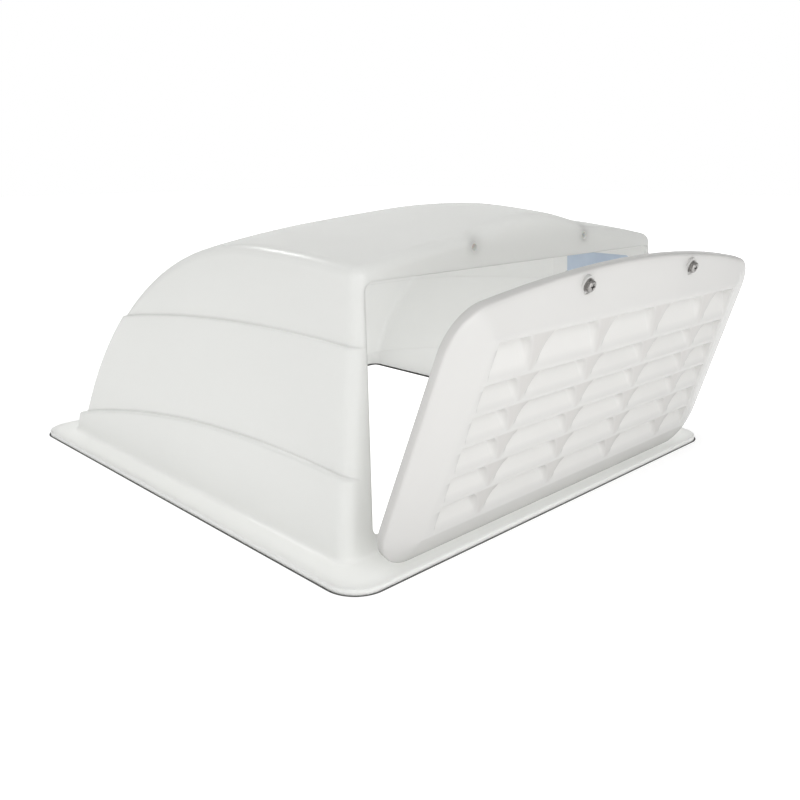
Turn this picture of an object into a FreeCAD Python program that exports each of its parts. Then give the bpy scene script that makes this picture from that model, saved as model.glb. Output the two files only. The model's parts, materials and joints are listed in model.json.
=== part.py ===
"""Roof vent cover: a moulded hood on a flat flange, closed at the lee end by a louvred panel.

Frame, in millimetres: X runs fore and aft with the louvred end at +X, Y runs across, Z is up.
The origin is the centre of the four roof screw holes, at the underside of the flange.
The panel is modelled upright in its own frame, then tilted and put in its open place.
"""

import FreeCAD, Part
import math
import os

V = FreeCAD.Vector

# Flange
FLANGE_LENGTH = 483.0
FLANGE_WIDTH = 470.0
FLANGE_TOP = 4.5
FLANGE_PLATE = 2.5
FLANGE_LIP = 3.0
FLANGE_CORNER = 24.0
FLANGE_CENTRE_X = 6.0
HOLE_X_FRONT = 219.0
HOLE_X_REAR = -231.0
HOLE_Y = 165.0
HOLE_R = 2.6
HOLE_BOSS_R = 6.0
FLANGE_EDGE_R = 1.0
BASE_BLEND_R = 4.0

# Hood walls, with x from the flange's centre
WALL = 3.0
FRONT_X = 205.6
FRONT_LEAN = 3.15
FRONT_CORNER = 10.0
ARC_R = 306.0
ARC_X = 75.0
EDGE_Z = 207.5
TOP_HALF_Y = 204.5
TOP_DRAFT = 0.095
TOP_REAR_X = -214.5
MIDDLE_STEP = 2.0
BASE_HALF_Y = 212.4
BASE_DRAFT = 0.135
BASE_REAR_X = -220.5
BASE_REAR_DRAFT = 0.22
REAR_CORNER = 12.0

# The crown: a bow across the whole roof with a raised middle towards the louvred end
BOW = 18.5
BOW_HALF_Y = 185.0
RISE = 9.5
RISE_MID_Y = 48.5
RISE_BLEND_Y = 42.0
RISE_FULL_X = 140.0
FALL = 6.0
FALL_LENGTH = 110.0
ROOF_EDGE_R = 9.0

# Ledges round the hood, each the top of a lower, wider tier
MIDDLE_LEDGE_Z = 151.5
MIDDLE_LEDGE_X = 130.0
MIDDLE_LEDGE_R = 1562.0
MIDDLE_LEDGE_ROUND = 1.5
BASE_LEDGE_Z = 65.0
BASE_LEDGE_X = 120.0
BASE_LEDGE_R = 1295.0
BASE_LEDGE_ROUND = 3.0

# Opening at the louvred end
OPENING_HALF_LOW = 184.0
OPENING_HALF_HIGH = 180.0
OPENING_TOP = 192.3
SILL = 16.0
OPENING_CORNER = 7.0

# Louvred panel, in its own frame: x out of the front face, y across, z up the slope
PANEL_TILT = 17.42
PANEL_X = 242.6
PANEL_Z = 12.8
RIM_X = -8.0
PANEL_BACK_X = -14.0
PANEL_WALL = 2.4
RIM_BOTTOM = -10.0
RIM_HALF_LOW = 210.9
RIM_HALF_HIGH = 194.0
RIM_SHOULDER = 176.6
RIM_PEAK = 208.8
RIM_LOW_R = 32.0
RIM_HIGH_R = 34.0
RIM_ARCH_R = 960.0
FIELD_BOTTOM = 15.0
FIELD_HALF_LOW = 178.5
FIELD_HALF_HIGH = 161.0
FIELD_SHOULDER = 159.5
FIELD_PEAK = 161.0
FIELD_CORNER = 6.0
FIELD_ARCH_R = 9000.0

# Louvre pockets, one above another between the ribs
RIB_LINES = [-158.0, -114.0, -38.0, 38.0, 114.0, 158.0]
RIB_TOP_HALF = 10.0
RIB_TIP_HALF = 1.0
FIELD_SPREAD = 0.00055
ROW_TOP = 158.0
FIRST_ROW = 27.0
ROW_PITCH = 22.6
ROWS = 6
LIP = 2.5
POCKET_DEPTH = 9.0
POCKET_CORNER = 8.0
BLADE = 2.0

# Hinge: a pin on the flange at each side, in a slider that runs in a slotted arm of the panel
HINGE_Y = 118.0
PIN_X = 207.5
PIN_CLOSED_X = -15.5
SLOT_Z = 1.0
ARM_THICK = 2.5
ARM_HALF = 6.0
ARM_TAIL = 6.5
ARM_ROUND = 5.0
SLIDER = 6.4
SLOT_CLEAR = 0.15
SLIDER_LIP_R = 4.8
SLIDER_LIP = 1.2
PIN_R = 2.0
PIN_CLEAR = 0.05
PIN_HEAD_R = 3.5
PIN_HEAD = 1.2
GROOVE_R = 1.5
CLIP = 0.8
CLIP_R = 3.6
SIDE_GAP = 0.3
BRACKET_THICK = 2.0
BRACKET_GAP = 0.6
BRACKET_BACK_X = 206.4
BRACKET_BACK_Z = 10.5
BRACKET_TOE_X = 218.0
BRACKET_TOE_Z = 7.0
FOOT_BACK_X = 210.2
FOOT_FRONT_X = 224.0
KNUCKLE_R = 4.0
FOOT_WIDTH = 18.0
RIVET_X = 217.0
RIVET_SPACING = 10.0
RIVET_R = 1.6
RIVET_HEAD_R = 3.0
RIVET_HEAD = 1.2
RIVET_TAIL_R = 2.5
RIVET_TAIL = 1.0

# Captive screws that hold the panel shut
SCREW_Y = 71.0
SCREW_Z = 184.0
SCREW_R = 2.4
SCREW_HOLE_R = 2.9
SEAT_X = -5.0
SEAT_R = 6.5
SEAT_BACK_X = -10.0
SCREW_LENGTH = 20.6
SCREW_HEAD_R = 4.2
SCREW_HEAD = 2.8
CROSS_LENGTH = 4.6
CROSS_WIDTH = 1.1
CROSS_DEPTH = 1.7
WASHER_R = 4.9
WASHER = 1.1
WASHER_HOLE_R = 2.45
RETAINER_R = 4.6
RETAINER = 1.0
BACK_OUT = 5.5

# Insert nuts pressed into the hood from the inside
NUT_SPIGOT_R = 3.4
NUT_FLANGE_R = 6.5
NUT_FLANGE = 1.2
NUT_HEX = 8.0
NUT_BODY = 5.0
NUT_THREAD_R = 2.75
NUT_THREAD_DEPTH = 7.7

# Label on the inside of the far wall
LABEL_X = 128.0
LABEL_Z = 165.0
LABEL_LENGTH = 88.0
LABEL_HEIGHT = 30.0
LABEL_THICK = 0.3


def save(name, shape):
    """Moves a shape from the flange's centre to the frame's origin and writes it."""
    placed = shape.translated(V(FLANGE_CENTRE_X, 0, 0))
    placed.exportStep("parts/" + name + ".step")


def polygon(points):
    """A closed wire of straight edges."""
    return Part.makePolygon(points + [points[0]])


def rounded(points, radii):
    """A closed wire of straight edges with an arc of its own radius at each corner."""
    ends = []
    for i, corner in enumerate(points):
        before = (points[i - 1] - corner).normalize()
        after = (points[(i + 1) % len(points)] - corner).normalize()
        half = math.acos(before.dot(after)) / 2
        back = radii[i] / math.tan(half)
        middle = (before + after).normalize()
        centre = corner + middle * (radii[i] / math.sin(half))
        ends.append((corner + before * back, centre - middle * radii[i], corner + after * back))
    edges = []
    for i, (start, mid, end) in enumerate(ends):
        edges.append(Part.Arc(start, mid, end).toShape())
        edges.append(Part.makeLine(end, ends[(i + 1) % len(ends)][0]))
    return Part.Wire(edges)


def prism(wire, along):
    """A solid swept straight from a flat closed wire."""
    return Part.Face(wire).extrude(along)


def cylinder(radius, start, along):
    """A round bar from a point, as long as the vector."""
    return Part.makeCylinder(radius, along.Length, start, along)


# ---------------------------------------------------------------- hood


def smooth(t):
    """0 to 1 with level ends."""
    t = min(max(t, 0.0), 1.0)
    return t * t * (3 - 2 * t)


def roof_z(x, y, drop):
    """Height of the roof surface, drop below the outer one at its middle radius."""
    radius = ARC_R - drop
    if x < ARC_X:
        height = EDGE_Z - ARC_R + math.sqrt(max(radius**2 - (ARC_X - x) ** 2, 1.0))
    else:
        height = EDGE_Z - drop - FALL * ((x - ARC_X) / FALL_LENGTH) ** 2
    across = abs(y)
    bow = BOW * (1 - (across / BOW_HALF_Y) ** 2)
    rise = RISE * smooth(x / RISE_FULL_X)
    rise *= smooth((RISE_MID_Y + RISE_BLEND_Y - across) / (2 * RISE_BLEND_Y))
    return height + bow + rise


def roof_solid(drop):
    """Everything under the roof surface, as one solid with a smooth top face."""
    rear = ARC_X - ARC_R + drop + 1.0
    front = FRONT_X + 20.0
    half = 230.0
    across = 33
    steps = 41
    rows = []
    for i in range(steps):
        turn = (i / (steps - 1)) ** 1.5
        x = rear + (front - rear) * turn
        row = []
        for j in range(across):
            y = -half + 2 * half * j / (across - 1)
            row.append(V(x, y, roof_z(x, y, drop)))
        rows.append(row)
    surface = Part.BSplineSurface()
    surface.interpolate(rows)
    return surface.toShape().extrude(V(0, 0, -500))


def wall_prism(half_y, draft, rear_x, rear_draft, inset, top):
    """A four-sided block whose walls lean in as they rise, rounded at its upright corners."""

    def outline(z):
        side = half_y - draft * z - inset
        front = FRONT_X - math.tan(math.radians(FRONT_LEAN)) * z - inset
        rear = rear_x + rear_draft * z + inset
        points = [V(rear, -side, z), V(front, -side, z), V(front, side, z), V(rear, side, z)]
        front_r = FRONT_CORNER - inset
        rear_r = REAR_CORNER - inset
        return rounded(points, [rear_r, front_r, front_r, rear_r])

    return Part.makeLoft([outline(-2 * inset), outline(top)], True, True)


def tier_trim(x, z, radius, inset):
    """Everything under the arched ledge on top of a tier."""
    half = 360.0
    peak = z - inset
    end = peak - radius + math.sqrt(radius**2 - half**2)
    low = -20.0
    arc = Part.Arc(V(x - half, -260, end), V(x, -260, peak), V(x + half, -260, end)).toShape()
    right = Part.makeLine(V(x + half, -260, end), V(x + half, -260, low))
    base = Part.makeLine(V(x + half, -260, low), V(x - half, -260, low))
    left = Part.makeLine(V(x - half, -260, low), V(x - half, -260, end))
    return prism(Part.Wire([arc, right, base, left]), V(0, 520, 0))


def soften_roof(body, radius):
    """Rounds the edges where the roof meets the walls."""
    edges = []
    for edge in body.Edges:
        box = edge.BoundBox
        along_roof = box.ZMax - box.ZMin > 100 and box.XMax - box.XMin > 100
        if along_roof or (box.ZMin > 180 and edge.Length > 10):
            edges.append(edge)
    return body.makeFillet(radius, edges)


def soften_ledge(body, radius):
    """Rounds the outer edge of the ledge on top of a tier."""
    for face in body.Faces:
        box = face.BoundBox
        if box.XLength > 200 and box.YLength > 300 and box.ZMin > 5:
            return body.makeFillet(radius, face.Edges)
    return body


def hood_body(inset):
    """The hood as one solid lump of three tiers, smaller by the inset on every side."""
    walls = wall_prism(TOP_HALF_Y, TOP_DRAFT, TOP_REAR_X, 0.0, inset, 260.0)
    top = soften_roof(walls.common(roof_solid(inset)), ROOF_EDGE_R - inset)
    walls = wall_prism(TOP_HALF_Y + MIDDLE_STEP, TOP_DRAFT, TOP_REAR_X, 0.0, inset, 260.0)
    middle = soften_roof(walls.common(roof_solid(inset - MIDDLE_STEP)), ROOF_EDGE_R - inset)
    middle = middle.common(tier_trim(MIDDLE_LEDGE_X, MIDDLE_LEDGE_Z, MIDDLE_LEDGE_R, inset))
    base = wall_prism(BASE_HALF_Y, BASE_DRAFT, BASE_REAR_X, BASE_REAR_DRAFT, inset, 100.0)
    base = base.common(tier_trim(BASE_LEDGE_X, BASE_LEDGE_Z, BASE_LEDGE_R, inset))
    if inset == 0:
        middle = soften_ledge(middle, MIDDLE_LEDGE_ROUND)
        base = soften_ledge(base, BASE_LEDGE_ROUND)
    return top.fuse([middle, base])


def on_front(shape):
    """Puts a shape drawn on an upright face at x = 0 onto the hood's leaning front."""
    shape.rotate(V(0, 0, 0), V(0, 1, 0), -FRONT_LEAN)
    shape.translate(V(FRONT_X, 0, 0))
    return shape


def opening():
    """The cutter for the opening behind the louvred panel."""
    corners = [
        V(10, -OPENING_HALF_LOW, SILL),
        V(10, OPENING_HALF_LOW, SILL),
        V(10, OPENING_HALF_HIGH, OPENING_TOP),
        V(10, -OPENING_HALF_HIGH, OPENING_TOP),
    ]
    return on_front(prism(rounded(corners, [OPENING_CORNER] * 4), V(-30, 0, 0)))


def flange_plate(inset, start, end):
    """A round-cornered plate in the flange's outline, smaller by the inset."""
    x = FLANGE_LENGTH / 2 - inset
    y = FLANGE_WIDTH / 2 - inset
    corners = [V(-x, -y, start), V(x, -y, start), V(x, y, start), V(-x, y, start)]
    return prism(rounded(corners, [FLANGE_CORNER - inset] * 4), V(0, 0, end - start))


def flange():
    """The flat flange with its turned-down lip, before the hood's inside is cut through it."""
    plate = flange_plate(0.0, 0.0, FLANGE_TOP)
    rim = [edge for edge in plate.Edges if edge.BoundBox.ZMin > FLANGE_TOP - 0.01]
    return plate.makeFillet(FLANGE_EDGE_R, rim)


def blend_base(body):
    """Rounds the corner between the hood's walls and the flange."""
    edges = []
    for edge in body.Edges:
        box = edge.BoundBox
        level = abs(box.ZMin - FLANGE_TOP) < 0.01 and abs(box.ZMax - FLANGE_TOP) < 0.01
        inner = abs(box.Center.x) < FRONT_X + 5 and abs(box.Center.y) < BASE_HALF_Y + 5
        reach = max(box.YMax, -box.YMin) < FLANGE_WIDTH / 2 - 15 and box.XMax < FRONT_X + 10
        if level and inner and reach and box.XMin > BASE_REAR_X - 5:
            edges.append(edge)
    return body.makeFillet(BASE_BLEND_R, edges)


def rivet_places():
    """Foot centres of the flange rivets, on both sides."""
    places = []
    for side in (-1, 1):
        near = side * (bracket_y() - BRACKET_THICK - FOOT_WIDTH / 2 - RIVET_SPACING / 2)
        far = near + side * RIVET_SPACING
        places += [V(RIVET_X, near, 0), V(RIVET_X, far, 0)]
    return places


def hood():
    """The moulded hood with its flange, opening and holes."""
    outside = blend_base(hood_body(0.0).fuse(flange()))
    under = FLANGE_TOP - FLANGE_PLATE
    shell = outside.cut(hood_body(WALL)).cut(opening()).cut(flange_plate(FLANGE_LIP, -1.0, under))
    bosses = []
    cutters = []
    for side in (-1, 1):
        for x in (HOLE_X_FRONT, HOLE_X_REAR):
            place = V(x, side * HOLE_Y, 0)
            bosses.append(cylinder(HOLE_BOSS_R, place, V(0, 0, under + 0.5)))
            cutters.append(cylinder(HOLE_R, place - V(0, 0, 1), V(0, 0, FLANGE_TOP + 2)))
        start = V(10, side * SCREW_Y, closed_screw_height())
        cutters.append(on_front(cylinder(NUT_SPIGOT_R, start, V(-20, 0, 0))))
        spot = start - V(10 + WALL, 0, 0)
        cutters.append(on_front(cylinder(NUT_FLANGE_R + SIDE_GAP, spot, V(-8, 0, 0))))
    for place in rivet_places():
        cutters.append(cylinder(RIVET_R, place - V(0, 0, 1), V(0, 0, FLANGE_TOP + 2)))
    return shell.fuse(bosses).cut(cutters)


# ---------------------------------------------------------------- panel


def tilted(shape):
    """Moves a shape from the panel's own frame to its open place."""
    shape.rotate(V(0, 0, 0), V(0, 1, 0), PANEL_TILT)
    shape.translate(V(PANEL_X, 0, PANEL_Z))
    return shape


def pin_open_x():
    """Where the hinge pin sits in the panel's frame while the panel is open."""
    tilt = math.radians(PANEL_TILT)
    return (PIN_X - PANEL_X - math.sin(tilt) * SLOT_Z) / math.cos(tilt)


def pin_z():
    """Height of the hinge pin above the roof."""
    tilt = math.radians(PANEL_TILT)
    return PANEL_Z + math.cos(tilt) * SLOT_Z - math.sin(tilt) * pin_open_x()


def closed_screw_height():
    """How far up the hood's front face the panel screws meet it."""
    lean = math.radians(FRONT_LEAN)
    along = -math.sin(lean) * (PIN_X - FRONT_X) + math.cos(lean) * pin_z()
    return along + SCREW_Z - SLOT_Z


def panel_outline(x, low, half_low, half_high, shoulder, peak, radii):
    """A round-cornered outline with an arched top edge."""
    corners = [
        V(x, -half_low, low),
        V(x, half_low, low),
        V(x, half_high, shoulder),
        V(x, 0, peak),
        V(x, -half_high, shoulder),
    ]
    return rounded(corners, radii)


def tray(inset):
    """The panel as a solid slab with sloping borders, smaller by the inset."""
    low_r = RIM_LOW_R - inset
    high_r = RIM_HIGH_R - inset
    radii = [low_r, low_r, high_r, RIM_ARCH_R, high_r]

    def rim(x):
        half_low = RIM_HALF_LOW - inset
        half_high = RIM_HALF_HIGH - inset
        peak = RIM_PEAK - inset
        return panel_outline(x, RIM_BOTTOM + inset, half_low, half_high, RIM_SHOULDER - inset, peak, radii)

    corner = FIELD_CORNER
    field_radii = [corner, corner, corner, FIELD_ARCH_R, corner]
    face = (FIELD_BOTTOM, FIELD_HALF_LOW, FIELD_HALF_HIGH, FIELD_SHOULDER, FIELD_PEAK)
    front = panel_outline(-inset, *face, field_radii)
    border = Part.makeLoft([rim(RIM_X - inset), front], True, True)
    depth = PANEL_BACK_X - RIM_X
    return border.fuse(prism(rim(RIM_X - inset), V(depth, 0, 0)))


def spread(y, z):
    """How far out a rib line has drifted at a height on the panel."""
    return y * (1 + FIELD_SPREAD * (ROW_TOP - z))


def pocket(column, low, high, grow, front):
    """One louvre pocket, shallow at the bottom and deep at the top; grown, it is the outside."""
    left = RIB_LINES[column]
    right = RIB_LINES[column + 1]
    left_rib = RIB_TOP_HALF if column > 0 else 0.0
    right_rib = RIB_TOP_HALF if column < len(RIB_LINES) - 2 else 0.0
    corners = [
        V(front, spread(left, low) + RIB_TIP_HALF - grow, low),
        V(front, spread(right, low) - RIB_TIP_HALF + grow, low),
        V(front, spread(right, high) - right_rib + grow, high),
        V(front, spread(left, high) + left_rib - grow, high),
    ]
    top_r = POCKET_CORNER + grow
    block = prism(rounded(corners, [1.0, 1.0, top_r, top_r]), V(-30, 0, 0))
    deep = -POCKET_DEPTH - grow
    face = [V(1, -220, high + 2), V(1, -220, low), V(-grow, -220, low)]
    back = [V(deep, -220, high), V(deep, -220, high + 2)]
    return block.common(prism(polygon(face + back), V(0, 440, 0)))


def pockets(grow, front, above):
    """All the louvre pockets, in rows from the top down."""
    shapes = []
    high = ROW_TOP
    low = ROW_TOP - FIRST_ROW
    for _ in range(ROWS):
        for column in range(len(RIB_LINES) - 1):
            shapes.append(pocket(column, low, high + above, grow, front))
        high = low - LIP
        low -= ROW_PITCH
    return shapes


def arm(side):
    """A hinge arm reaching back from the panel."""
    tail = pin_open_x() - ARM_TAIL
    low = SLOT_Z - ARM_HALF
    high = SLOT_Z + ARM_HALF
    y = side * HINGE_Y - ARM_THICK / 2
    corners = [V(RIM_X + 0.6, y, low), V(tail, y, low), V(tail, y, high), V(-3.6, y, high)]
    return prism(rounded(corners, [0.5, ARM_ROUND, ARM_ROUND, 0.5]), V(0, ARM_THICK, 0))


def arm_slot(side):
    """The cutter for the slot a slider runs in."""
    reach = SLIDER / 2 + SIDE_GAP
    length = PIN_CLOSED_X - pin_open_x() + 2 * reach
    height = SLIDER + 2 * SLOT_CLEAR
    corner = V(pin_open_x() - reach, side * HINGE_Y - ARM_THICK, SLOT_Z - height / 2)
    return Part.makeBox(length, 2 * ARM_THICK, height, corner)


def bracket_notch(side):
    """The cutter that lets the bottom of the panel pass a hinge bracket."""
    start = min(side * (HINGE_Y - 7), side * (HINGE_Y + 4))
    return Part.makeBox(6, 11, 8, V(PANEL_BACK_X - 2.5, start, RIM_BOTTOM - 2))


def panel():
    """The louvred panel as one moulding."""
    solid = tray(0.0)
    inside = tray(PANEL_WALL)
    shell = solid.cut(inside).fuse(pockets(BLADE, -0.5, 0.0))
    extras = []
    cutters = pockets(0.0, 1.0, 0.5)
    for side in (-1, 1):
        extras.append(arm(side))
        seat = V(SEAT_X, side * SCREW_Y, SCREW_Z)
        extras.append(cylinder(SEAT_R, seat, V(SEAT_BACK_X - SEAT_X, 0, 0)))
        cutters.append(cylinder(SEAT_R, seat, V(6, 0, 0)))
        cutters.append(cylinder(SCREW_HOLE_R, seat, V(-12, 0, 0)))
        cutters.append(arm_slot(side))
        cutters.append(bracket_notch(side))
    return tilted(shell.fuse(extras).cut(cutters))


# ---------------------------------------------------------------- hinge hardware


def bracket_y():
    """Outer face of a hinge bracket, as a distance from the middle."""
    return HINGE_Y - ARM_THICK / 2 - BRACKET_GAP


def hinge_bracket(side):
    """A stainless angle on the flange with an eye for the pin."""
    face = side * (bracket_y() - BRACKET_THICK)
    across = V(0, side * BRACKET_THICK, 0)
    front = PIN_X + KNUCKLE_R
    upright = [
        V(FOOT_BACK_X, face, FLANGE_TOP),
        V(BRACKET_TOE_X, face, FLANGE_TOP),
        V(BRACKET_TOE_X, face, BRACKET_TOE_Z),
        V(front, face, BRACKET_BACK_Z),
        V(front, face, pin_z()),
        V(BRACKET_BACK_X, face, pin_z()),
        V(BRACKET_BACK_X, face, BRACKET_BACK_Z),
    ]
    plate = prism(polygon(upright), across).fuse(cylinder(KNUCKLE_R, V(PIN_X, face, pin_z()), across))
    width = FOOT_WIDTH + BRACKET_THICK
    start = min(face - side * FOOT_WIDTH, face + across.y)
    corner = V(FOOT_BACK_X, start, FLANGE_TOP)
    foot = Part.makeBox(FOOT_FRONT_X - FOOT_BACK_X, width, BRACKET_THICK, corner)
    cutters = [cylinder(PIN_R, V(PIN_X, face - across.y, pin_z()), across * 3)]
    for place in rivet_places():
        cutters.append(cylinder(RIVET_R, place, V(0, 0, 10)))
    return plate.fuse(foot).cut(cutters)


def bracket_rivets(side):
    """The two rivets through one bracket's foot and the flange."""
    rivets = []
    for place in rivet_places():
        if place.y * side > 0:
            top = FLANGE_TOP + BRACKET_THICK
            under = FLANGE_TOP - FLANGE_PLATE
            shank = cylinder(RIVET_R, place + V(0, 0, under), V(0, 0, top - under))
            head = cylinder(RIVET_HEAD_R, place + V(0, 0, top), V(0, 0, RIVET_HEAD))
            tail = cylinder(RIVET_TAIL_R, place + V(0, 0, under), V(0, 0, -RIVET_TAIL))
            rivets.append(shank.fuse([head.makeFillet(0.8, [head.Edges[0]]), tail]))
    return Part.makeCompound(rivets)


def along_pin(side, offset):
    """A point on the hinge axis, measured outward from the middle of the arm."""
    return V(PIN_X, side * (HINGE_Y + offset), pin_z())


def groove_offset():
    """Where the clip's groove starts on a hinge pin."""
    return ARM_THICK / 2 + 2 * SIDE_GAP + SLIDER_LIP


def hinge_pin(side):
    """A headed pin held in its bracket, grooved for the clip."""
    out = V(0, side, 0)
    back = bracket_y() - BRACKET_THICK - HINGE_Y
    end = groove_offset() + CLIP + 1.0
    head = cylinder(PIN_HEAD_R, along_pin(side, back), out * -PIN_HEAD)
    shank = cylinder(PIN_R, along_pin(side, back), out * (end - back))
    groove = Part.makeCylinder(PIN_R + 1, CLIP, along_pin(side, groove_offset()), out)
    core = Part.makeCylinder(GROOVE_R, CLIP, along_pin(side, groove_offset()), out)
    return shank.fuse(head).cut(groove.cut(core))


def pin_clip(side):
    """An open retaining clip in the groove of a hinge pin."""
    start = along_pin(side, groove_offset())
    out = V(0, side * CLIP, 0)
    ring = cylinder(CLIP_R, start, out).cut(cylinder(GROOVE_R, start, out))
    mouth = Part.makeBox(CLIP_R + 1, 4 * CLIP, 2.2, V(PIN_X, start.y - 2 * CLIP, pin_z() - 1.1))
    return ring.cut(mouth)


def slider(side):
    """A nylon block that turns on the pin and runs in the arm's slot."""
    out = V(0, side, 0)
    depth = ARM_THICK / 2 + SIDE_GAP
    half = SLIDER / 2
    block = Part.makeBox(SLIDER, 2 * depth, SLIDER, V(-half, -depth, -half))
    block.rotate(V(0, 0, 0), V(0, 1, 0), PANEL_TILT)
    block.translate(along_pin(side, 0.0))
    lip = cylinder(SLIDER_LIP_R, along_pin(side, depth), out * (SLIDER_LIP))
    bore = cylinder(PIN_R + PIN_CLEAR, along_pin(side, -5.0), out * 10)
    return block.fuse(lip).cut(bore)


# ---------------------------------------------------------------- panel screws


def screw(side):
    """A pan-head screw with a cross recess."""
    under = V(SEAT_X + WASHER, side * SCREW_Y, SCREW_Z)
    head = cylinder(SCREW_HEAD_R, under, V(SCREW_HEAD, 0, 0))
    rim = [edge for edge in head.Edges if edge.BoundBox.XMin > under.x + 1 and edge.Length > 5]
    head = head.makeFillet(1.2, rim[:1])
    shank = cylinder(SCREW_R, under, V(-SCREW_LENGTH, 0, 0))
    tip = [edge for edge in shank.Edges if edge.BoundBox.XMax < under.x - 5]
    shank = shank.makeChamfer(0.8, tip[:1])
    recess = []
    for width, height in ((CROSS_LENGTH, CROSS_WIDTH), (CROSS_WIDTH, CROSS_LENGTH)):
        start = under + V(SCREW_HEAD - CROSS_DEPTH, -width / 2, -height / 2)
        recess.append(Part.makeBox(CROSS_DEPTH + 1, width, height, start))
    return tilted(head.fuse(shank).cut(recess))


def screw_washer(side):
    """The washer under a screw's head."""
    start = V(SEAT_X, side * SCREW_Y, SCREW_Z)
    out = V(WASHER, 0, 0)
    return tilted(cylinder(WASHER_R, start, out).cut(cylinder(WASHER_HOLE_R, start, out)))


def screw_retainer(side):
    """The washer behind the panel that keeps the screw captive."""
    start = V(SEAT_BACK_X - BACK_OUT, side * SCREW_Y, SCREW_Z)
    back = V(-RETAINER, 0, 0)
    return tilted(cylinder(RETAINER_R, start, back).cut(cylinder(WASHER_HOLE_R, start, back)))


def insert_nut(side):
    """A flanged blind nut pressed through the hood's front wall from behind."""
    start = V(0, side * SCREW_Y, closed_screw_height())
    spigot = cylinder(NUT_SPIGOT_R, start, V(-WALL, 0, 0))
    flange_back = cylinder(NUT_FLANGE_R, start - V(WALL, 0, 0), V(-NUT_FLANGE, 0, 0))
    corners = []
    for i in range(6):
        turn = math.radians(60 * i)
        across = V(0, math.cos(turn), math.sin(turn)) * (NUT_HEX / math.sqrt(3))
        corners.append(start - V(WALL + NUT_FLANGE, 0, 0) + across)
    body = prism(polygon(corners), V(-NUT_BODY, 0, 0))
    thread = cylinder(NUT_THREAD_R, start + V(1, 0, 0), V(-NUT_THREAD_DEPTH - 1, 0, 0))
    return on_front(spigot.fuse([flange_back, body]).cut(thread))


def inner_label():
    """A thin label on the inside of the far side wall."""
    half = LABEL_LENGTH / 2
    tall = LABEL_HEIGHT / 2
    corners = [V(-half, 0, -tall), V(half, 0, -tall), V(half, 0, tall), V(-half, 0, tall)]
    sheet = prism(rounded(corners, [3.0] * 4), V(0, -LABEL_THICK, 0))
    sheet.rotate(V(0, 0, 0), V(1, 0, 0), math.degrees(math.atan(TOP_DRAFT)))
    sheet.translate(V(LABEL_X, TOP_HALF_Y - TOP_DRAFT * LABEL_Z - WALL - 0.02, LABEL_Z))
    return sheet


def main():
    """Writes one file for each piece."""
    os.makedirs("parts", exist_ok=True)
    save("hood_shell", hood())
    save("louvre_panel", panel())
    save("inner_label", inner_label())
    for name, side in (("left", -1), ("right", 1)):
        save("hinge_bracket_" + name, hinge_bracket(side))
        save("hinge_bracket_rivets_" + name, bracket_rivets(side))
        save("hinge_pin_" + name, hinge_pin(side))
        save("hinge_clip_" + name, pin_clip(side))
        save("hinge_slider_" + name, slider(side))
        save("panel_screw_" + name, screw(side))
        save("screw_washer_" + name, screw_washer(side))
        save("screw_retainer_" + name, screw_retainer(side))
        save("insert_nut_" + name, insert_nut(side))


main()
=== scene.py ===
import json
import math

import bmesh
import bpy
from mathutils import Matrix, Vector


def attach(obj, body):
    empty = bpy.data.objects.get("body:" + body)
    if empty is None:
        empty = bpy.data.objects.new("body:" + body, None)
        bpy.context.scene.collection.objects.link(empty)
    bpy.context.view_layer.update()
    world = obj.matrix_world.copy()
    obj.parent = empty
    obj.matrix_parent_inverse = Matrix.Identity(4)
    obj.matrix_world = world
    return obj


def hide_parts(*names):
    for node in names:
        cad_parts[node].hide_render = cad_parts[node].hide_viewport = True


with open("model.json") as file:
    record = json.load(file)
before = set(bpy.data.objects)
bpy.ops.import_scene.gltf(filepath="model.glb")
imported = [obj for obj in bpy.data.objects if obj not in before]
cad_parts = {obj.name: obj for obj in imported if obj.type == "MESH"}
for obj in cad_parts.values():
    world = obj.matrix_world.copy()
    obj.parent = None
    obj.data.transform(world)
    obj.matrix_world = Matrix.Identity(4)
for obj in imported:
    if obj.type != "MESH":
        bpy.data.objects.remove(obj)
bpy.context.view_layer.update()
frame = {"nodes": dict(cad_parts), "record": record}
NODES = frame["nodes"]
WHITE = (1.0, 1.0, 1.0, 1.0)

# Camera, in metres and radians in the part's own frame
CAMERA = Vector((0.5999, -0.5394, 0.2684))
CAMERA_YAW = 2.366
CAMERA_PITCH = -0.282
CAMERA_FOCAL_PX = 827.1
IMAGE_PX = 800.0
SENSOR_MM = 36.0
CLIP_START = 0.01
CLIP_END = 30.0

# Surroundings: a side is a direction, an edge the two dot products between which the level changes
BACKDROP_SIDE = (-0.715, 0.70, 0.0)
BACKDROP_EDGE = (0.74, 0.885)
BACKDROP_LEVEL = 1.0
SHADE_SIDE = (0.42, 0.90, 0.10)
SHADE_EDGE = (0.30, 0.85)
SHADE_LEVEL = 0.46
STUDIO_LEVEL = 0.625

# Area lights: name, place, target, width and height in metres, power in watts
LIGHTS = (
    ("key", (0.98, -0.55, 0.62), (0.24, -0.15, 0.1), (0.5, 0.5), 3.4),
    ("low", (0.82, -0.12, 0.10), (0.26, -0.02, 0.04), (0.6, 0.14), 0.85),
    ("glint", (-1.0, -0.39, 1.1), (0.17, -0.2, 0.2), (0.22, 0.22), 3.0),
)

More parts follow.
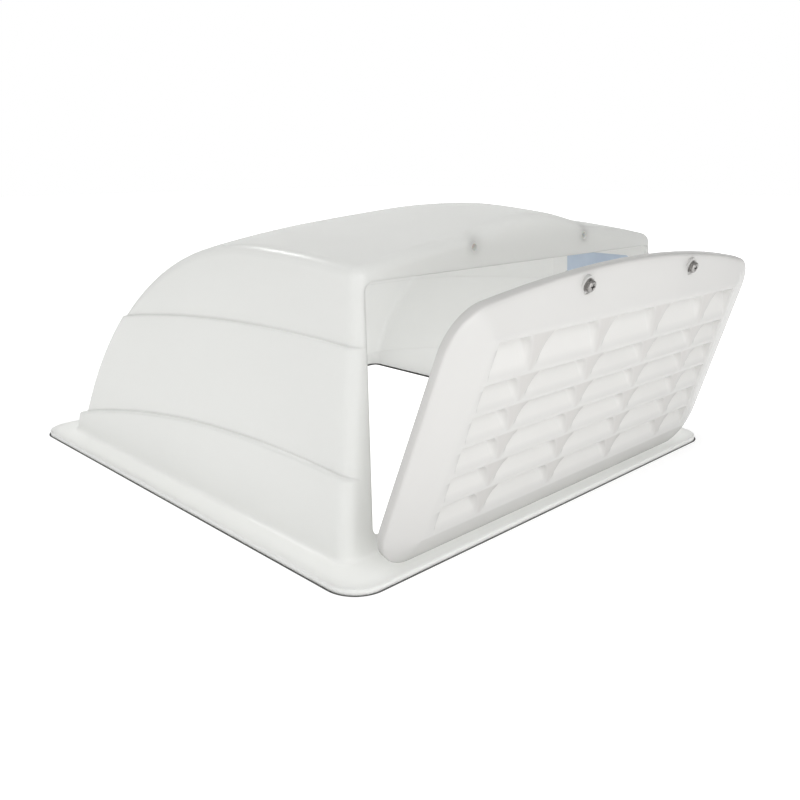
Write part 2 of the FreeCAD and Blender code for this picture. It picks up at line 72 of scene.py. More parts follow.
# Floor, in metres: a plan is a low corner, a high corner and a corner radius. Painted shadow on the floor:
# dark lines at the flange's edge and at the hood's far foot, and the glow dimmed near the flange
FLOOR_HALF = 6.0
FLOOR_ROUGHNESS = 0.9
FLOOR_GLOW = 0.94
FLOOR_PALE = (0.55, 0.55, 0.55)
FLOOR_PALER = (0.58, 0.58, 0.58)
# Colour of the painted shadow lines at the flange's edge and the hood's far foot
PAINTED_SHADOW_LINE = (0.04, 0.04, 0.04, 1.0)
FLANGE_PLAN = ((-0.2355, -0.235), (0.2475, 0.235), 0.024)
EDGE_SHADOW_LINE = (0.0011, 0.0018)
UNDER_EDGE = (-0.001, 0.0)
# The floor's glow is dimmed near the flange as a painted soft shadow
SHADOW_GLOW_START = 0.58
SHADOW_GLOW_REACH = (0.001, 0.10)
HOOD_PLAN = ((-0.2115, -0.2094), (0.2086, 0.2094), 0.007)
FOOT_OFFSET = 0.004
FOOT_SHADOW_LINE = (0.004, 0.006)
FOOT_FAR_Y = (0.14, 0.16)
FOOT_LEE_X = (0.19, 0.20)

# Materials
RIPPLE_ROUGHNESS = (0.17, 0.23)
MIDDLE_NOISE = (0.3, 0.7)
METAL_DULL = 0.72
METAL_ROUGHNESS = (-0.08, 0.12)
NYLON_DULL = 0.9
LABEL_BAND_X = 0.107
LABEL_BAND_EDGE = 0.0005
LABEL_WHITE = (0.80, 0.80, 0.79, 1.0)
# Painted shade on the panel's ribs between the louvres, and painted light on its louvre blades
PAINTED_RIB_SHADE = (0.615, 0.603, 0.588, 1.0)
PAINTED_BLADE_LIGHT = (0.735, 0.73, 0.715, 1.0)

# Louvred panel, in mm in its own frame: x forwards out of its face, y across, z up along it
MM = 0.001
TILT = math.radians(17.42)
PANEL_FOOT_X = 248.6
PANEL_FOOT_Z = 12.8
SHEET = 2.4
EDGE_ROUND = 0.5

# Louvre field: rib lines spread apart towards the foot, by SPREAD per mm below ROW_TOP
RIB_LINES = (-158.0, -114.0, -38.0, 38.0, 114.0, 158.0)
SPREAD = 0.00055
ROW_TOP = 158.0
ROW_LOWS = (131.0, 108.4, 85.8, 63.2, 40.6, 18.0)
LIP = 2.5
BLADE_DEPTH = 9.0
BLADE_FLARE = 0.03
RIB_HALF = 0.9
RIB_GROWTH = 8.4
RIB_POWER = 1.2
RIB_SPLAY = 2.8
SPLAY_START = 0.74
RIB_FADE = 7.0
SIDE_RIB = 0.6
SIDE_FADE = 2.6
FIELD_LOW = 15.0
FIELD_HIGH = 159.5
FIELD_PEAK = 161.0
FIELD_HALF_LOW = 178.5
FIELD_HALF_HIGH = 161.0
ROW_STEPS = (0.0, 0.04, 0.10, 0.18, 0.30, 0.44, 0.58, 0.70, 0.80, 0.88, 0.94, 0.975, 1.0)
CELL_STEPS = 8
MIDDLE_STEPS = 4

# Where the painted light on the blades and the painted shade on the ribs fade, in mm, but LIP_FADE is a
# share of a row's height
PAINTED_RIB_WIDTH = 9.6
PAINTED_RIB_FADE = (-1.5, 3.5)
LIP_FADE = (0.98, 1.04)
LOW_FADE = 1.0
DEPTH_FADE = (0.3, 2.0)
SIDE_BLADE_FADE = (-2.0, 1.0)
SIDE_RIB_FADE = (-1.0, 1.0)

# Border round the field: corners of the rim, and (share of the way out, depth) of its section
RIM_CORNERS = ((-210.9, -10.0), (210.9, -10.0), (194.0, 176.6), (0.0, 208.8), (-194.0, 176.6))
RIM_RADII = (32.0, 32.0, 34.0, 960.0, 34.0)
RIM_STEPS = 12
BACK_DEPTH = 14.0
BORDER_SECTION = (
    (0.0, 0.0),
    (0.04, 0.12),
    (0.09, 0.5),
    (0.16, 1.08),
    (0.5, 3.86),
    (0.84, 6.62),
    (0.95, 7.6),
    (0.985, 8.15),
    (1.0, 9.0),
    (1.0, 11.5),
    (1.0, BACK_DEPTH),
)

# Screw seats, hinge arms, and the notches over the hinge brackets
SEAT_Y = 71.0
SEAT_Z = 184.0
SEAT_DEPTH = 5.0
SEAT_BACK = 9.95
SEAT_R = 6.5
SEAT_CUT = (-3.0, 12.0)
SCREW_HOLE_R = 2.9
CIRCLE_STEPS = 48
ARM_Y = 118.0
ARM_THICK = 2.5
ARM_CORNERS = ((-7.4, -5.0), (-43.6, -5.0), (-43.6, 7.0), (-3.6, 7.0))
ARM_RADII = (0.5, 5.0, 5.0, 0.5)
SLOT_CORNERS = ((-12.0, -2.35), (-40.6, -2.35), (-40.6, 4.35), (-12.0, 4.35))
SLOT_RADII = (0.3, 0.3, 0.3, 0.3)
ARM_STEPS = 8
NOTCH = ((-16.5, -10.5), (111.0, 122.0), (-12.5, -4.0))

# Mesh clean-up, in metres and degrees
WELD = 0.00003
SHORT_EDGE = 0.00002
ROUND_ANGLE = 50.0
SHARP_ANGLE = 42.0


# ---------------------------------------------------------------- materials


class Nodes:
    """Short calls for building one material's node tree."""

    def __init__(self, name):
        self.material = bpy.data.materials.new(name)
        self.material.use_nodes = True
        self.tree = self.material.node_tree
        self.shader = self.tree.nodes["Principled BSDF"]
        coords = self.add("ShaderNodeTexCoord")
        self.position = coords.outputs["Object"]

    def add(self, kind, **inputs):
        node = self.tree.nodes.new(kind)
        for key, value in inputs.items():
            self.put(node.inputs[key.replace("_", " ")], value)
        return node

    def put(self, socket, value):
        if isinstance(value, bpy.types.NodeSocket):
            self.tree.links.new(value, socket)
        else:
            socket.default_value = value

    def noise(self, scale, detail=4.0, roughness=0.55, vector=None):
        node = self.add("ShaderNodeTexNoise", Scale=scale, Detail=detail, Roughness=roughness)
        self.put(node.inputs["Vector"], vector or self.position)
        return node.outputs["Fac"]

    def stretched(self, x, y, z):
        node = self.add("ShaderNodeMapping")
        self.put(node.inputs["Vector"], self.position)
        node.inputs["Scale"].default_value = (x, y, z)
        return node.outputs["Vector"]

    def ramp(self, value, stops):
        """A colour that runs between two (place, colour) stops."""
        node = self.add("ShaderNodeValToRGB")
        self.put(node.inputs["Fac"], value)
        for element, (place, colour) in zip(node.color_ramp.elements, stops):
            element.position = place
            element.color = (*colour, 1.0)
        return node.outputs["Color"]

    def span(self, value, low, high, start=0.0, end=1.0):
        """A number that runs from low to high while the value runs from start to end."""
        node = self.add("ShaderNodeMapRange")
        self.put(node.inputs["Value"], value)
        node.inputs["From Min"].default_value = start
        node.inputs["From Max"].default_value = end
        node.inputs["To Min"].default_value = low
        node.inputs["To Max"].default_value = high
        return node.outputs["Result"]

    def maths(self, kind, first, second=0.0):
        node = self.tree.nodes.new("ShaderNodeMath")
        node.operation = kind
        self.put(node.inputs[0], first)
        self.put(node.inputs[1], second)
        return node.outputs[0]

    def plus(self, first, second):
        return self.maths("ADD", first, second)

    def minus(self, first, second):
        return self.maths("SUBTRACT", first, second)

    def times(self, first, second):
        return self.maths("MULTIPLY", first, second)

    def over(self, first, second):
        return self.maths("DIVIDE", first, second)

    def most(self, first, second):
        return self.maths("MAXIMUM", first, second)

    def beyond(self, parts, low, high, corner):
        """How far a point is outside an upright round-cornered box given in plan."""
        gaps = []
        for axis, start, end in zip("XY", low, high):
            offset = self.minus(parts.outputs[axis], (start + end) / 2)
            half = (end - start) / 2 - corner
            gaps.append(self.minus(self.maths("ABSOLUTE", offset), half))
        squares = [self.maths("POWER", self.most(gap, 0.0), 2.0) for gap in gaps]
        length = self.maths("SQRT", self.plus(*squares))
        inner = self.maths("MINIMUM", self.most(*gaps), 0.0)
        return self.minus(self.plus(length, inner), corner)

    def mix(self, factor, first, second):
        node = self.tree.nodes.new("ShaderNodeMix")
        node.data_type = "RGBA"
        self.put(node.inputs[0], factor)
        self.put(node.inputs[6], first)
        self.put(node.inputs[7], second)
        return node.outputs[2]

    def bump(self, *layers, soft=0.0):
        """Layers of (height, strength, distance), over edges softened by a radius if one is given."""
        normal = None
        if soft:
            normal = self.add("ShaderNodeBevel", Radius=soft).outputs["Normal"]
        for height, strength, distance in layers:
            node = self.add("ShaderNodeBump", Strength=strength, Distance=distance)
            self.put(node.inputs["Height"], height)
            if normal:
                self.put(node.inputs["Normal"], normal)
            normal = node.outputs["Normal"]
        self.put(self.shader.inputs["Normal"], normal)


def poly(name, base, dark, through, painted_light_and_shade=None, soft=0.0):
    """Milky polyethylene sheet: a glossy skin, and a share of soft light passing through."""
    m = Nodes(name)
    cloud = m.noise(scale=5.0, detail=2.0, roughness=0.5)
    ripple = m.noise(scale=16.0, detail=2.0, roughness=0.5)
    grain = m.noise(scale=1400.0, detail=2.0, roughness=0.5)
    tone_and_painted_light = m.ramp(cloud, [(0.30, dark), (0.70, base)])
    # Painted light on the louvre blades and painted shade on the ribs, mixed into the sheet's colour
    if painted_light_and_shade:
        blade, rib = painted_light_and_shade(m)
        tone_and_painted_light = m.mix(rib, m.mix(blade, tone_and_painted_light, PAINTED_BLADE_LIGHT), PAINTED_RIB_SHADE)
    m.put(m.shader.inputs["Base Color"], tone_and_painted_light)
    m.put(m.shader.inputs["Roughness"], m.span(ripple, *RIPPLE_ROUGHNESS, *MIDDLE_NOISE))
    m.shader.inputs["Specular IOR Level"].default_value = 0.5
    m.shader.inputs["IOR"].default_value = 1.5
    m.bump((ripple, 0.10, 0.0010), (grain, 0.04, 0.00005), soft=soft)
    glow = m.add("ShaderNodeBsdfTranslucent")
    m.put(glow.inputs["Color"], tone_and_painted_light)
    both = m.add("ShaderNodeMixShader")
    both.inputs[0].default_value = through
    m.put(both.inputs[1], m.shader.outputs[0])
    m.put(both.inputs[2], glow.outputs[0])
    m.put(m.tree.nodes["Material Output"].inputs["Surface"], both.outputs[0])
    return m.material


def row_share(m, up):
    """How far up its louvre row a point of the panel is: 0 at the row's foot, 1 at its top."""
    pitch = ROW_LOWS[-2] - ROW_LOWS[-1]
    part_way = m.maths("MODULO", m.minus(up, ROW_LOWS[-1]), pitch)
    low_rows = m.over(part_way, pitch - LIP)
    top_row = m.over(m.minus(up, ROW_LOWS[0]), ROW_TOP - ROW_LOWS[0])
    is_top = m.maths("GREATER_THAN", up, ROW_LOWS[0])
    return m.plus(low_rows, m.times(is_top, m.minus(top_row, low_rows)))


def painted_blade_light_and_rib_shade(m):
    """Two masks over the panel for painted light and shade: 1 on the louvre blades, painted lighter, and 1
    on the ribs between them, painted darker.
    """
    parts = m.add("ShaderNodeSeparateXYZ", Vector=m.position)
    x = m.minus(m.over(parts.outputs["X"], MM), PANEL_FOOT_X)
    z = m.minus(m.over(parts.outputs["Z"], MM), PANEL_FOOT_Z)
    up = m.plus(m.times(z, math.cos(TILT)), m.times(x, math.sin(TILT)))
    back = m.minus(m.times(z, math.sin(TILT)), m.times(x, math.cos(TILT)))
    spread = m.plus(1.0, m.times(m.minus(ROW_TOP, up), SPREAD))
    y = m.over(m.maths("ABSOLUTE", m.over(parts.outputs["Y"], MM)), spread)
    inside = m.minus(m.times(spread, RIB_LINES[-1]), m.times(y, spread))
    t = row_share(m, up)
    gaps = [m.maths("ABSOLUTE", m.minus(y, line)) for line in RIB_LINES if 0 < line < RIB_LINES[-1]]
    past = m.minus(m.maths("MINIMUM", *gaps), m.times(m.most(t, 0.0), PAINTED_RIB_WIDTH))
    lip = m.span(t, 0.0, 1.0, *LIP_FADE)
    below = m.span(up, 1.0, 0.0, ROW_LOWS[-1] - LOW_FADE, ROW_LOWS[-1] + LOW_FADE)
    off_rib = m.most(m.span(past, 0.0, 1.0, *PAINTED_RIB_FADE), m.most(lip, below))
    rib = m.minus(m.minus(1.0, off_rib), m.span(inside, 1.0, 0.0, *SIDE_RIB_FADE))
    in_rows = m.span(up, 1.0, 0.0, ROW_TOP, ROW_TOP + LOW_FADE)
    blade = m.times(m.span(back, 0.0, 1.0, *DEPTH_FADE), in_rows)
    blade = m.times(blade, m.span(inside, 0.0, 1.0, *SIDE_BLADE_FADE))
    blade = m.times(blade, m.span(up, 0.0, 1.0, FIELD_LOW, ROW_LOWS[-1]))
    return blade, rib


def metal(name, colour, rough):
    """Plated or stainless metal with rolled streaks and dulled patches."""
    m = Nodes(name)
    streaks = m.noise(scale=260.0, detail=3.0, roughness=0.6, vector=m.stretched(1.0, 6.0, 6.0))
    patches = m.noise(scale=60.0, detail=4.0, roughness=0.6)
    dull = tuple(c * METAL_DULL for c in colour)
    smoother, rougher = (rough + change for change in METAL_ROUGHNESS)
    m.put(m.shader.inputs["Base Color"], m.ramp(patches, [(0.35, dull), (0.65, colour)]))
    m.put(m.shader.inputs["Roughness"], m.span(streaks, smoother, rougher, *MIDDLE_NOISE))
    m.shader.inputs["Metallic"].default_value = 1.0
    m.bump((streaks, 0.15, 0.0002), (patches, 0.1, 0.0004))
    return m.material


def nylon(name, colour):
    """Slightly cloudy moulded nylon."""
    m = Nodes(name)
    cloud = m.noise(scale=120.0)
    dull = tuple(c * NYLON_DULL for c in colour)
    m.put(m.shader.inputs["Base Color"], m.ramp(cloud, [(0.3, dull), (0.7, colour)]))
    m.put(m.shader.inputs["Roughness"], m.span(cloud, 0.4, 0.55))
    m.shader.inputs["Subsurface Weight"].default_value = 0.2
    m.bump((cloud, 0.1, 0.0003))
    return m.material


def label_print(name):
    """A blank paper label: a pale blue field beside a white band."""
    m = Nodes(name)
    cloud = m.noise(scale=40.0)
    field = m.ramp(cloud, [(0.3, (0.46, 0.54, 0.66)), (0.7, (0.52, 0.60, 0.71))])
    parts = m.add("ShaderNodeSeparateXYZ", Vector=m.position)
    band = m.span(parts.outputs["X"], 1.0, 0.0, LABEL_BAND_X, LABEL_BAND_X + LABEL_BAND_EDGE)
    m.put(m.shader.inputs["Base Color"], m.mix(band, field, LABEL_WHITE))
    m.put(m.shader.inputs["Roughness"], m.span(cloud, 0.35, 0.5))
    return m.material


MATERIALS = {
    "hood_plastic": poly("hood_plastic", (0.885, 0.888, 0.876), (0.875, 0.878, 0.866), 0.55, soft=0.003),
    "panel_plastic": poly("panel_plastic", (0.68, 0.675, 0.662), (0.672, 0.667, 0.654), 0.36, painted_blade_light_and_rib_shade),
    "stainless": metal("stainless", (0.55, 0.55, 0.54), 0.32),
    "rivet": metal("rivet", (0.75, 0.75, 0.75), 0.32),
    "spring_steel": metal("spring_steel", (0.42, 0.42, 0.44), 0.34),
    "nylon": nylon("nylon", (0.86, 0.86, 0.82)),
    "zinc": metal("zinc", (0.34, 0.33, 0.32), 0.30),
    "label": label_print("label"),
}


def dress():
    """Gives every CAD piece its material."""
    for entry in frame["record"]["subparts"]:
        node = NODES[entry["node"]]
        for slot in node.material_slots:
            slot.material = MATERIALS[entry["material_slot"]]


# ---------------------------------------------------------------- louvred panel


def panel_point(x, y, z):
    """A point given in mm in the panel's own frame, as metres in the part's frame."""
    return Vector((
        PANEL_FOOT_X + math.cos(TILT) * x + math.sin(TILT) * z,
        y,
        PANEL_FOOT_Z - math.sin(TILT) * x + math.cos(TILT) * z,
    )) * MM


def ease(t):
    """A smooth start and stop between 0 and 1."""
    t = min(max(t, 0.0), 1.0)
    return t * t * (3.0 - 2.0 * t)


def rounded_corners(corners, radii, steps):
    """One list of (y, z) points per corner of an outline, each along that corner's arc."""
    arcs = []
    count = len(corners)
    for i, corner in enumerate(corners):
        here = Vector(corner)
        before = (Vector(corners[i - 1]) - here).normalized()
        after = (Vector(corners[(i + 1) % count]) - here).normalized()
        half = before.angle(after) / 2
        centre = here + (before + after).normalized() * (radii[i] / math.sin(half))
        start = here + before * (radii[i] / math.tan(half)) - centre
        end = here + after * (radii[i] / math.tan(half)) - centre
        sweep = start.angle(end)
        arc = []
        for j in range(steps + 1):
            share = j / steps
            weight_start = math.sin((1 - share) * sweep) / math.sin(sweep)
            weight_end = math.sin(share * sweep) / math.sin(sweep)
            arc.append(centre + start * weight_start + end * weight_end)
        arcs.append(arc)
    return arcs


def field_half(z):
    """Half the width of the louvre field at a height."""
    share = (z - FIELD_LOW) / (FIELD_HIGH - FIELD_LOW)
    return FIELD_HALF_LOW + (FIELD_HALF_HIGH - FIELD_HALF_LOW) * share


def field_top(y):
    """Height of the louvre field's top edge."""
    return FIELD_PEAK + (FIELD_HIGH - FIELD_PEAK) * abs(y) / FIELD_HALF_HIGH


def louvre_rows():
    """(foot, top, lower edge of the lip under the foot) of each louvre row, from the top down."""
    rows = []
    high = ROW_TOP
    for low in ROW_LOWS:
        edge = low - LIP if low > ROW_LOWS[-1] else FIELD_LOW
        rows.append((low, high, edge))
        high = edge
    return rows


def louvre_line(z, t):
    """(y, share of the blade depth) across the panel, t of the way up a louvre row."""
    splay = RIB_SPLAY * ease((t - SPLAY_START) / (1.0 - SPLAY_START))
    rib = RIB_HALF + RIB_GROWTH * t ** RIB_POWER + splay
    scale = 1.0 + SPREAD * (ROW_TOP - z)
    last = len(RIB_LINES) - 2
    line = [(-field_half(z), 0.0)]
    for cell in range(last + 1):
        left_rib, left_fade = (rib, RIB_FADE) if cell > 0 else (SIDE_RIB, SIDE_FADE)
        right_rib, right_fade = (rib, RIB_FADE) if cell < last else (SIDE_RIB, SIDE_FADE)
        left = RIB_LINES[cell] * scale + left_rib
        right = RIB_LINES[cell + 1] * scale - right_rib
        if cell > 0:
            line.append((RIB_LINES[cell] * scale, 0.0))
        for i in range(CELL_STEPS + 1):
            line.append((left + left_fade * i / CELL_STEPS, ease(i / CELL_STEPS)))
        middle = right - right_fade - left - left_fade
        for i in range(1, MIDDLE_STEPS):
            line.append((left + left_fade + middle * i / MIDDLE_STEPS, 1.0))
        for i in range(CELL_STEPS, -1, -1):
            line.append((right - right_fade * i / CELL_STEPS, ease(i / CELL_STEPS)))
    line.append((field_half(z), 0.0))
    return line


def field_top_line():
    """(y, z) points along the louvre field's top edge, one over each point of the top row."""
    grow = FIELD_HALF_HIGH / field_half(ROW_TOP)
    return [(y * grow, field_top(y * grow)) for y, _ in louvre_line(ROW_TOP, 1.0)]


def add_strip(mesh, first, second):
    """Quads between two equally long lines of vertices."""
    for i in range(len(first) - 1):
        mesh.faces.new((first[i], first[i + 1], second[i + 1], second[i]))


def add_line(mesh, points):
    """Vertices at points given in the panel's own frame."""
    return [mesh.verts.new(panel_point(*point)) for point in points]


def add_louvres(mesh):
    """The louvre rows, from the top down, and the strip above them."""
    for low, high, edge in louvre_rows():
        lip_t = 1.0 if low > ROW_LOWS[-1] else 0.0
        previous = add_line(mesh, [(0.0, y, edge) for y, _ in louvre_line(edge, lip_t)])
        for t in ROW_STEPS:
            z = low + (high - low) * t
            depth = BLADE_DEPTH * t * t / (t + BLADE_FLARE)
            line = add_line(mesh, [(-depth * share, y, z) for y, share in louvre_line(z, t)])
            add_strip(mesh, previous, line)
            previous = line
    foot = add_line(mesh, [(0.0, y, ROW_TOP) for y, _ in louvre_line(ROW_TOP, 1.0)])
    add_strip(mesh, foot, add_line(mesh, [(0.0, y, z) for y, z in field_top_line()]))


def height_on(line, y):
    """Height of a right-to-left line of points at y."""
    for right, left in zip(line, line[1:]):
        if left.x <= y <= right.x:
            share = (right.x - y) / max(right.x - left.x, 1e-6)
            return right.y + (left.y - right.y) * share
    return line[0].y if y > 0 else line[-1].y


def side_points():
    """The right edge of the louvre field from its foot up, each point with its share of the way up."""
    heights = [FIELD_LOW]
    for low, high, _ in reversed(louvre_rows()):
        heights += [low + (high - low) * t for t in ROW_STEPS]
    heights.append(FIELD_HIGH)
    return [(Vector((field_half(z), z)), (z - FIELD_LOW) / (FIELD_HIGH - FIELD_LOW)) for z in heights]


def border_pairs():
    """Points round the edge of the louvre field, each with its point on the rim."""
    low_left, low_right, high_right, peak, high_left = rounded_corners(RIM_CORNERS, RIM_RADII, RIM_STEPS)
    top_line = [high_right[-1]] + peak + [high_left[0]]
    sides = side_points()
    pairs = []
    for y, _ in louvre_line(FIELD_LOW, 0.0):
        share = (y / FIELD_HALF_LOW + 1) / 2
        pairs.append((Vector((y, FIELD_LOW)), low_left[-1].lerp(low_right[0], share)))
    pairs += [(Vector((FIELD_HALF_LOW, FIELD_LOW)), point) for point in low_right]
    for inner, share in sides:
        pairs.append((inner, low_right[-1].lerp(high_right[0], share)))
    pairs += [(Vector((FIELD_HALF_HIGH, FIELD_HIGH)), point) for point in high_right]
    for point in reversed(field_top_line()):
        inner = Vector(point)
        outer_y = inner.x / FIELD_HALF_HIGH * top_line[0].x
        pairs.append((inner, Vector((outer_y, height_on(top_line, outer_y)))))
    pairs += [(Vector((-FIELD_HALF_HIGH, FIELD_HIGH)), point) for point in high_left]
    for inner, share in reversed(sides):
        pairs.append((Vector((-inner.x, inner.y)), low_left[0].lerp(high_left[-1], share)))
    pairs += [(Vector((-FIELD_HALF_LOW, FIELD_LOW)), point) for point in low_left]
    return pairs


def add_border(mesh):
    """The sloping border round the louvre field and the wall behind its edge."""
    pairs = border_pairs()
    rings = []
    for share, depth in BORDER_SECTION:
        ring = []
        for inner, outer in pairs:
            place = inner.lerp(outer, share)
            ring.append((-depth, place.x, place.y))
        ring.append(ring[0])
        rings.append(add_line(mesh, ring))
    for inner, outer in zip(rings, rings[1:]):
        add_strip(mesh, outer, inner)


def mesh_object(name, mesh):
    """A Blender object made from a bmesh, which it uses up."""
    data = bpy.data.meshes.new(name)
    mesh.to_mesh(data)
    mesh.free()
    piece = bpy.data.objects.new(name, data)
    bpy.context.scene.collection.objects.link(piece)
    return piece


def apply_modifiers(piece):
    """Gives a piece the mesh that its modifiers make of it."""
    graph = bpy.context.evaluated_depsgraph_get()
    data = bpy.data.meshes.new_from_object(piece.evaluated_get(graph))
    piece.modifiers.clear()
    piece.data = data


def add_circle(mesh, side, radius, depth):
    """A ring of vertices round a panel screw's line."""
    points = []
    for i in range(CIRCLE_STEPS):
        turn = 2 * math.pi * i / CIRCLE_STEPS
        y = side * SEAT_Y + radius * math.cos(turn)
        points.append((-depth, y, SEAT_Z + radius * math.sin(turn)))
    return add_line(mesh, points)


def cutters():
    """Cutters for the screw seats and for the notches over the hinge brackets."""
    mesh = bmesh.new()
    for side in (-1, 1):
        front, back = [add_circle(mesh, side, SEAT_R, depth) for depth in SEAT_CUT]
        add_strip(mesh, back + back[:1], front + front[:1])
        mesh.faces.new(front)
        mesh.faces.new(reversed(back))
        (x_low, x_high), (y_low, y_high), (z_low, z_high) = NOTCH
        box = bmesh.ops.create_cube(mesh, size=1.0)["verts"]
        for vert in box:
            x = x_low if vert.co.x < 0 else x_high
            y = side * (y_low if vert.co.y < 0 else y_high)
            z = z_low if vert.co.z < 0 else z_high
            vert.co = panel_point(x, y, z)
    bmesh.ops.recalc_face_normals(mesh, faces=mesh.faces)
    return mesh_object("panel_cutters", mesh)


def add_ring_solid(mesh, outer, inner):
    """A flat ring between two matching closed outlines, each a (front, back) pair of lines."""
    for k in range(len(outer[0])):
        n = (k + 1) % len(outer[0])
        mesh.faces.new((outer[0][k], outer[0][n], inner[0][n], inner[0][k]))
        mesh.faces.new((outer[1][n], outer[1][k], inner[1][k], inner[1][n]))
        mesh.faces.new((outer[0][n], outer[0][k], outer[1][k], outer[1][n]))
        mesh.faces.new((inner[0][k], inner[0][n], inner[1][n], inner[1][k]))


def add_seat(mesh, side):
    """The round pad that a panel screw's washer lands on."""
    loops = []
    for radius in (SEAT_R, SCREW_HOLE_R):
        loops.append([add_circle(mesh, side, radius, depth) for depth in (SEAT_DEPTH, SEAT_BACK)])
    add_ring_solid(mesh, *loops)


def add_arm(mesh, side):
    """A slotted hinge arm reaching back from the panel."""
    loops = []
    for corners, radii in ((ARM_CORNERS, ARM_RADII), (SLOT_CORNERS, SLOT_RADII)):
        outline = []
        for arc in rounded_corners(corners, radii, ARM_STEPS):
            outline += arc
        pair = []
        for offset in (ARM_THICK / 2, -ARM_THICK / 2):
            pair.append(add_line(mesh, [(point.x, side * ARM_Y + offset, point.y) for point in outline]))
        loops.append(pair)
    add_ring_solid(mesh, *loops)


def panel_sheet():
    """The panel's face and border as one sheet of even wall, with its openings cut."""
    mesh = bmesh.new()
    add_louvres(mesh)
    add_border(mesh)
    bmesh.ops.remove_doubles(mesh, verts=mesh.verts, dist=WELD)
    bmesh.ops.dissolve_degenerate(mesh, edges=mesh.edges, dist=SHORT_EDGE)
    for face in mesh.faces:
        face.smooth = True
    piece = mesh_object("louvre_panel_moulding", mesh)
    wall = piece.modifiers.new("wall", "SOLIDIFY")
    wall.thickness = SHEET * MM
    wall.offset = -1.0
    cutter = cutters()
    cut = piece.modifiers.new("cut", "BOOLEAN")
    cut.operation = "DIFFERENCE"
    cut.solver = "EXACT"
    cut.object = cutter
    apply_modifiers(piece)
    bpy.data.objects.remove(cutter)
    return piece


def add_fittings(piece):
    """The screw seats and hinge arms, added to the panel's sheet."""
    mesh = bmesh.new()
    mesh.from_mesh(piece.data)
    for side in (-1, 1):
        add_seat(mesh, side)
        add_arm(mesh, side)
    for face in mesh.faces:
        face.smooth = True
    mesh.to_mesh(piece.data)
    mesh.free()


def round_edges(piece):
    """Small rounds on the piece's edges, as a moulding has."""
    round_off = piece.modifiers.new("round", "BEVEL")
    round_off.width = EDGE_ROUND * MM
    round_off.segments = 2
    round_off.limit_method = "ANGLE"
    round_off.angle_limit = math.radians(ROUND_ANGLE)
    round_off.use_clamp_overlap = True
    apply_modifiers(piece)
    piece.data.set_sharp_from_angle(angle=math.radians(SHARP_ANGLE))


def louvre_panel():
    """The louvred panel, as one smooth moulding in place of its plain CAD solid."""
    piece = panel_sheet()
    add_fittings(piece)
    round_edges(piece)
    piece.data.materials.clear()
    piece.data.materials.append(MATERIALS["panel_plastic"])
    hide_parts("louvre_panel")
    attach(piece, "panel")


# ---------------------------------------------------------------- studio


def floor_material():
    """Pale and glowing, with painted shadow: dark lines painted at the flange's edge and at the hood's far
    foot, and the glow dimmed near the flange.
    """
    m = Nodes("floor")
    m.shader.inputs["Roughness"].default_value = FLOOR_ROUGHNESS
    m.shader.inputs["Emission Color"].default_value = WHITE
    parts = m.add("ShaderNodeSeparateXYZ", Vector=m.position)
    outside = m.beyond(parts, *FLANGE_PLAN)
    off_edge_shadow = m.span(m.maths("ABSOLUTE", outside), 0.0, 1.0, *EDGE_SHADOW_LINE)
    under = m.span(outside, 1.0, 0.0, *UNDER_EDGE)
    # Painted soft shadow: less glow close outside the flange
    glow_with_painted_shadow = m.most(under, m.span(outside, SHADOW_GLOW_START, 1.0, *SHADOW_GLOW_REACH))
    from_foot = m.maths("ABSOLUTE", m.minus(m.beyond(parts, *HOOD_PLAN), FOOT_OFFSET))
    near_side = m.span(parts.outputs["Y"], 1.0, 0.0, *FOOT_FAR_Y)
    lee_side = m.span(parts.outputs["X"], 0.0, 1.0, *FOOT_LEE_X)
    off_foot_shadow = m.most(m.span(from_foot, 0.0, 1.0, *FOOT_SHADOW_LINE), m.most(near_side, lee_side))
    # Painted shadow: dark colour and no glow along the flange's edge and along the hood's far foot
    off_painted_shadow = m.times(off_edge_shadow, off_foot_shadow)
    sheet = m.ramp(m.noise(scale=300.0), [(0.3, FLOOR_PALE), (0.7, FLOOR_PALER)])
    m.put(m.shader.inputs["Base Color"], m.mix(off_painted_shadow, PAINTED_SHADOW_LINE, sheet))
    m.put(m.shader.inputs["Emission Strength"], m.times(m.times(off_painted_shadow, glow_with_painted_shadow), FLOOR_GLOW))
    return m.material


def floor():
    """A wide flat floor at the flange's underside."""
    mesh = bpy.data.meshes.new("floor")
    corners = [(x * FLOOR_HALF, y * FLOOR_HALF, 0) for x, y in ((-1, -1), (1, -1), (1, 1), (-1, 1))]
    mesh.from_pydata(corners, [], [(0, 1, 2, 3)])
    sheet = bpy.data.objects.new("floor", mesh)
    bpy.context.scene.collection.objects.link(sheet)
    mesh.materials.append(floor_material())


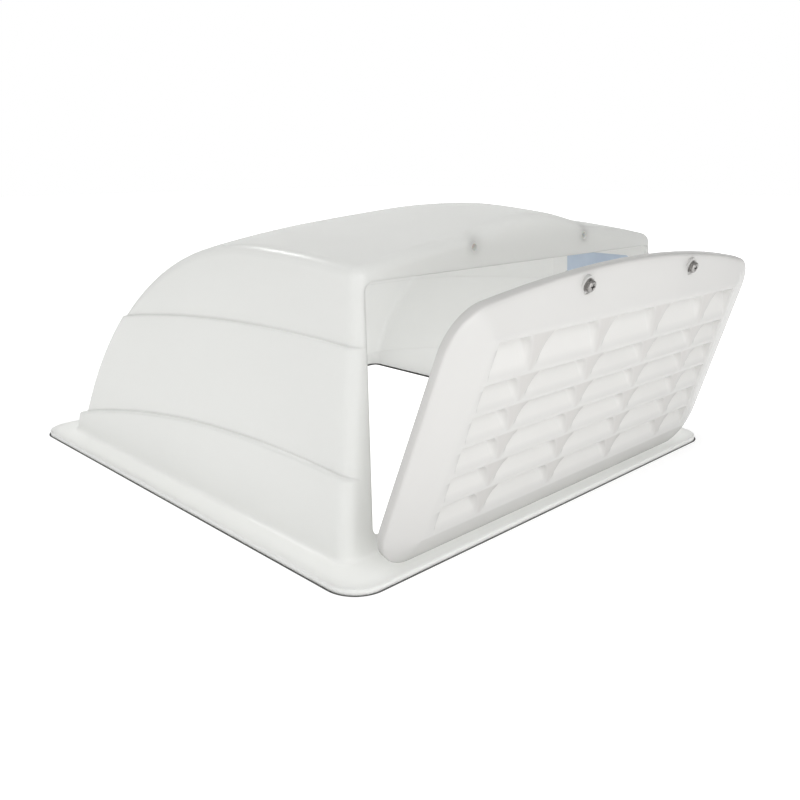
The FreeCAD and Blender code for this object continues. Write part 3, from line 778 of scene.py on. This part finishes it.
def level_towards(tree, side, edge):
    """A node whose level changes smoothly between its To Min and its To Max towards one side."""
    coords = tree.nodes.new("ShaderNodeTexCoord")
    facing = tree.nodes.new("ShaderNodeVectorMath")
    facing.operation = "DOT_PRODUCT"
    facing.inputs[1].default_value = side
    tree.links.new(coords.outputs["Generated"], facing.inputs[0])
    level = tree.nodes.new("ShaderNodeMapRange")
    level.interpolation_type = "SMOOTHSTEP"
    level.inputs["From Min"].default_value, level.inputs["From Max"].default_value = edge
    tree.links.new(facing.outputs["Value"], level.inputs["Value"])
    return level


def surroundings():
    """A white backdrop on one side of a dimmer studio, which is dimmest on its shaded side."""
    world = bpy.data.worlds.new("studio")
    world.use_nodes = True
    tree = world.node_tree
    dim = level_towards(tree, SHADE_SIDE, SHADE_EDGE)
    dim.inputs["To Min"].default_value = STUDIO_LEVEL
    dim.inputs["To Max"].default_value = SHADE_LEVEL
    level = level_towards(tree, BACKDROP_SIDE, BACKDROP_EDGE)
    tree.links.new(dim.outputs["Result"], level.inputs["To Min"])
    level.inputs["To Max"].default_value = BACKDROP_LEVEL
    background = tree.nodes["Background"]
    background.inputs["Color"].default_value = WHITE
    tree.links.new(level.outputs["Result"], background.inputs["Strength"])
    bpy.context.scene.world = world


def light(name, place, target, size, power):
    """A white rectangular area light."""
    data = bpy.data.lights.new(name, "AREA")
    data.shape = "RECTANGLE"
    data.size, data.size_y = size
    data.energy = power
    lamp = bpy.data.objects.new(name, data)
    bpy.context.scene.collection.objects.link(lamp)
    lamp.location = place
    lamp.rotation_euler = (Vector(target) - Vector(place)).to_track_quat("-Z", "Y").to_euler()


def studio():
    """The floor, the surroundings and soft light."""
    floor()
    surroundings()
    for entry in LIGHTS:
        light(*entry)
    bpy.context.scene.view_settings.view_transform = "Standard"


def camera():
    """A camera that looks down at the near front corner."""
    data = bpy.data.cameras.new("camera")
    data.sensor_width = SENSOR_MM
    data.lens = CAMERA_FOCAL_PX / IMAGE_PX * SENSOR_MM
    data.clip_start = CLIP_START
    data.clip_end = CLIP_END
    eye = bpy.data.objects.new("camera", data)
    bpy.context.scene.collection.objects.link(eye)
    eye.location = CAMERA
    aim = Vector((
        math.cos(CAMERA_YAW) * math.cos(CAMERA_PITCH),
        math.sin(CAMERA_YAW) * math.cos(CAMERA_PITCH),
        math.sin(CAMERA_PITCH),
    ))
    eye.rotation_euler = aim.to_track_quat("-Z", "Y").to_euler()
    bpy.context.scene.camera = eye


dress()
louvre_panel()
studio()
camera()
